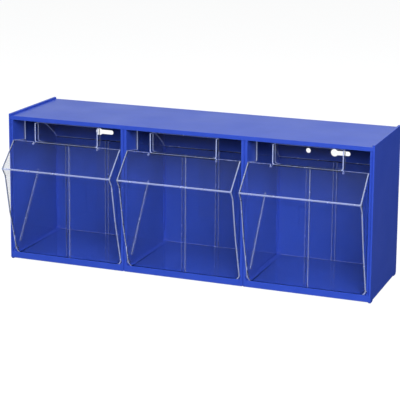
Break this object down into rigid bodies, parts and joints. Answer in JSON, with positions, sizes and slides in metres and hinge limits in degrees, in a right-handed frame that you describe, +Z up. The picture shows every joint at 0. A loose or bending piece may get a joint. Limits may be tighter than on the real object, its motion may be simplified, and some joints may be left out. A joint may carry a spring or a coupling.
{
  "type": "tilt-out bin organizer",
  "caption": "Long wall or bench organizer: a low box housing with a row of clear bins, each tipping forward about pins at its lower front corner.",
  "frame": {"origin": "bottom centre of the whole object's box, on the plane that the feet rest on", "axes": "+X to the right seen from the front, +Y to the back (towards the wall), +Z up"},
  "size_m": [0.6, 0.2, 0.24],
  "materials": {
    "housing_plastic": "satin moulded blue plastic",
    "clear_plastic": "clear glossy moulded plastic"
  },
  "bodies": {
    "housing": {"side_panel_left": "housing_plastic", "side_panel_right": "housing_plastic", "top_panel": "housing_plastic", "bottom_panel": "housing_plastic", "back_panel": "housing_plastic", "divider_left": "housing_plastic", "divider_right": "housing_plastic"},
    "left_bin": {"bin_left": "clear_plastic"},
    "middle_bin": {"bin_middle": "clear_plastic"},
    "right_bin": {"bin_right": "clear_plastic"}
  },
  "joints": [
    {"name": "left_bin_tilt", "type": "hinge", "parent": "housing", "child": "left_bin", "pos_m": [-0.19867, -0.052, 0.017], "axis": [1, 0, 0], "range_deg": [0, 44]},
    {"name": "middle_bin_tilt", "type": "hinge", "parent": "housing", "child": "middle_bin", "pos_m": [0, -0.052, 0.017], "axis": [1, 0, 0], "range_deg": [0, 44]},
    {"name": "right_bin_tilt", "type": "hinge", "parent": "housing", "child": "right_bin", "pos_m": [0.19867, -0.052, 0.017], "axis": [1, 0, 0], "range_deg": [0, 44]}
  ]
}
